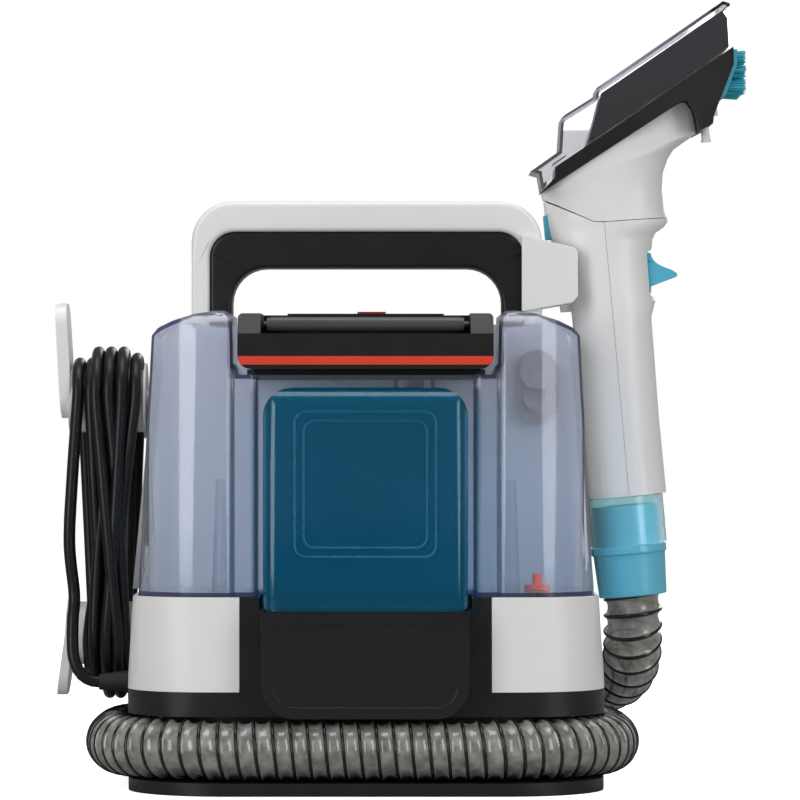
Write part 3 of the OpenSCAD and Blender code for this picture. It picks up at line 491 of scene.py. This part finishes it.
def make_hose():
    """Clear hose with a black wire coil that stands proud as a helix."""
    path = smooth_path([Vector(p) * MM for p in HOSE_ROUTE], HOSE_STEP)
    axes = carried_axes(path)
    total = (len(path) - 1) * HOSE_STEP
    verts, index, faces, slots = [], {}, [], []
    rows = len(HOSE_SECTION)
    turns = int(total / COIL_PITCH) + 2

    def along(m, row):
        """Distance along the hose of the m-th side of the helix, in one row of its section."""
        return (m / HOSE_SIDES + HOSE_SECTION[row][0] - 1) * COIL_PITCH

    def vertex(m, row):
        """Number of a point of the skin, made the first time that it is asked for."""
        if row == rows:
            m, row = m + HOSE_SIDES, 0
        if (m, row) not in index:
            s = min(max(along(m, row), 0.0), total - TINY)
            i = int(s / HOSE_STEP)
            part = s / HOSE_STEP - i
            j = min(i + 1, len(path) - 1)
            centre = path[i].lerp(path[j], part)
            side = axes[i][0].lerp(axes[j][0], part)
            other = axes[i][1].lerp(axes[j][1], part)
            angle = 2 * math.pi * m / HOSE_SIDES
            reach = HOSE_DIAMETER / 2 - HOSE_SECTION[row][1]
            index[(m, row)] = len(verts)
            verts.append(centre + (side * math.cos(angle) + other * math.sin(angle)) * reach)
        return index[(m, row)]

    for m in range(turns * HOSE_SIDES):
        for row in range(rows):
            if not -HOSE_START <= along(m, row) <= total - HOSE_END:
                continue
            faces.append([vertex(m, row), vertex(m + 1, row), vertex(m + 1, row + 1), vertex(m, row + 1)])
            slots.append(1 if row < COIL_ROWS or row >= rows - COIL_ROWS else 0)
    hose = mesh_object("hose", verts, faces, [hose_web(), BLACK_GLOSS], slots)
    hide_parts("suction_hose")
    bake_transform(hose)


# ---------------------------------------------------------------- mains lead

# Lead from the strain relief to the winding and from the winding to the plug, in millimetres
LEAD_ROUTE = [(-168, -8, 63.5), (-174, -8, 64.5), (-180, -8, 69), (-184, -7, 78), (-185, -5, 90),
              (-185, -1.5, 103), (-184.5, 4, 118), (-187.5, 3, 150), (-186, 6, 190)]
TAIL_ROUTE = [(-165, 64, 232), (-165, 72, 222), (-165, 78, 211), (-165, 80, 198), (-165, 80, 186)]
CORD_DIAMETER = 0.0076
HOOK_Y, HOOK_TOP, HOOK_FOOT = 37, 240, 92
# Where each turn passes over the upper drum and under the lower one: place along the drum and radius
TOP_SLOTS = [(-183, 24), (-151, 24), (-167, 24), (-175, 24), (-159, 24), (-146.5, 27), (-163, 31), (-155, 31),
             (-171, 31)]
FOOT_SLOTS = [(-176, 24), (-155, 25), (-167, 25), (-172, 31), (-160, 31), (-153, 31.5), (-164, 38),
              (-157, 38), (-169, 35)]
# Steps of each half turn round a drum, and of the strands in front of the drums and behind them
WRAP_STEPS, FRONT_STEPS, BACK_STEPS = 6, 5, 4
# How far a strand bows out halfway: sideways and forwards in front, from least to most, and backwards behind
FRONT_BOW = ((-2.5, 1.5), (-5, -1))
BACK_BOW = 3
LEAD_STEP = 0.004


def half_turn(slot, height, way):
    """Points round a drum: over the upper one with way 1, under the lower one with way -1."""
    x, radius = slot
    angles = [math.pi * k / WRAP_STEPS for k in range(WRAP_STEPS + 1)]
    return [Vector((x, HOOK_Y - way * radius * math.cos(a), height + way * radius * math.sin(a)))
            for a in angles]


def strand(start, end, steps, bow):
    """Points between two drums, bowed out most at the middle."""
    points = []
    for k in range(1, steps):
        t = k / steps
        out = math.sin(math.pi * t)
        points.append(Vector([a + (b - a) * t + c * out for a, b, c in zip(start, end, bow)]))
    return points


def wound_points():
    """Turns of the lead round the two drums: up in front, over, down at the back, under."""
    points = [Vector(p) for p in LEAD_ROUTE]
    rng = random.Random(3)
    foot = None
    for turn, (top, low) in enumerate(zip(TOP_SLOTS, FOOT_SLOTS)):
        if foot:
            bow = (rng.uniform(*FRONT_BOW[0]), rng.uniform(*FRONT_BOW[1]), 0)
            points += strand((foot[0], HOOK_Y - foot[1], HOOK_FOOT), (top[0], HOOK_Y - top[1], HOOK_TOP),
                             FRONT_STEPS, bow)
        points += half_turn(top, HOOK_TOP, 1)
        if turn == len(TOP_SLOTS) - 1:
            break
        points += strand((top[0], HOOK_Y + top[1], HOOK_TOP), (low[0], HOOK_Y + low[1], HOOK_FOOT),
                         BACK_STEPS, (0, BACK_BOW, 0))
        points += half_turn(low, HOOK_FOOT, -1)
        foot = low
    return points[:-1] + [Vector(p) for p in TAIL_ROUTE]


def make_lead():
    """Mains lead, wound on the hooks from the strain relief to its plug."""
    points = smooth_path([p * MM for p in wound_points()], LEAD_STEP)
    lead = round_tube("mains_lead", points, CORD_DIAMETER / 2, CORD, resolution=5)
    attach(lead, "chassis")
    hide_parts("cord_winding", "cord_lead")


# ---------------------------------------------------------------- brush

TUFT_ROWS, TUFTS_IN_ROW, BRISTLES_IN_TUFT = 3, 9, 46
TUFT_RADIUS = 0.0037
# Part of a tuft's radius that bristles fill at its foot, and how much wider it is at its tip
PLANTED, SPLAY = 0.9, 1.3
# Part of the block's depth at which the first row is planted, and what each further row adds
FIRST_ROW, NEXT_ROW = 0.35, 0.2
# How deep a bristle is planted, how much shorter than the longest it may be, and its radius at foot and tip
SUNK, UNEVEN = 0.001, 0.002
FOOT_RADIUS, TIP_RADIUS = 0.00034, 0.00026


def make_bristles():
    """Tufts of fine bristles standing straight out of the block, slightly splayed."""
    block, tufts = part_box("brush_block"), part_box("bristles")
    rng = random.Random(11)
    verts, faces = [], []
    for row in range(TUFT_ROWS):
        z = tufts[0][2] + TUFT_RADIUS + (tufts[1][2] - tufts[0][2] - 2 * TUFT_RADIUS) * row / (TUFT_ROWS - 1)
        x = block[0][0] + (block[1][0] - block[0][0]) * (FIRST_ROW + NEXT_ROW * row)
        for i in range(TUFTS_IN_ROW):
            y = (tufts[0][1] + TUFT_RADIUS
                 + (tufts[1][1] - tufts[0][1] - 2 * TUFT_RADIUS) * i / (TUFTS_IN_ROW - 1))
            for _ in range(BRISTLES_IN_TUFT):
                turn = rng.uniform(0, 2 * math.pi)
                reach = PLANTED * TUFT_RADIUS * math.sqrt(rng.random())
                dy, dz = reach * math.cos(turn), reach * math.sin(turn)
                start = Vector((x - SUNK, y + dy, z + dz))
                end = Vector((tufts[1][0] - rng.uniform(0, UNEVEN), y + dy * SPLAY, z + dz * SPLAY))
                base = len(verts)
                for point, thick in ((start, FOOT_RADIUS), (end, TIP_RADIUS)):
                    for c in range(4):
                        a = math.pi * c / 2
                        verts.append(point + Vector((0, thick * math.cos(a), thick * math.sin(a))))
                for c in range(4):
                    d = (c + 1) % 4
                    faces.append([base + c, base + d, base + 4 + d, base + 4 + c])
                faces.append([base + 7, base + 6, base + 5, base + 4])
                faces.append([base, base + 1, base + 2, base + 3])
    brush = mesh_object("bristle_tufts", verts, faces, [BRISTLE], smooth=False)
    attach(brush, "nozzle_body")
    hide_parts("bristles")


# ---------------------------------------------------------------- window of the solution tank

# Thin rims round the sunk window in the solution tank's front, in metres: half width, height of the lower and
# the upper side over the tank's foot, depth behind its face, and radius of the rim
WINDOW_RIMS = [(0.0430, 0.0329, 0.1211, 0.0013, 0.0010), (0.0376, 0.0384, 0.1156, 0.0027, 0.0010)]
WINDOW_CORNER = 0.007
CORNER_STEPS = 8


def make_window_rims():
    """Two thin rings with round corners, one at each step of the window."""
    low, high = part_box("solution_tank")
    middle = 0.5 * (low[0] + high[0])
    for number, (half, foot, top, depth, thick) in enumerate(WINDOW_RIMS):
        inner, base, roof = half - WINDOW_CORNER, low[2] + foot + WINDOW_CORNER, low[2] + top - WINDOW_CORNER
        points = []
        for x, z, start in ((inner, base, -90), (inner, roof, 0), (-inner, roof, 90), (-inner, base, 180)):
            for k in range(CORNER_STEPS + 1):
                a = math.radians(start + 90 * k / CORNER_STEPS)
                points.append((middle + x + WINDOW_CORNER * math.cos(a), low[1] + depth,
                               z + WINDOW_CORNER * math.sin(a)))
        rim = round_tube("window_rim_%d" % number, points, thick, TEAL_RIM, resolution=3, closed=True)
        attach(rim, "solution_tank_body")


make_camera()
make_studio()
finish_nodes()
make_hose()
make_lead()
make_bristles()
make_window_rims()
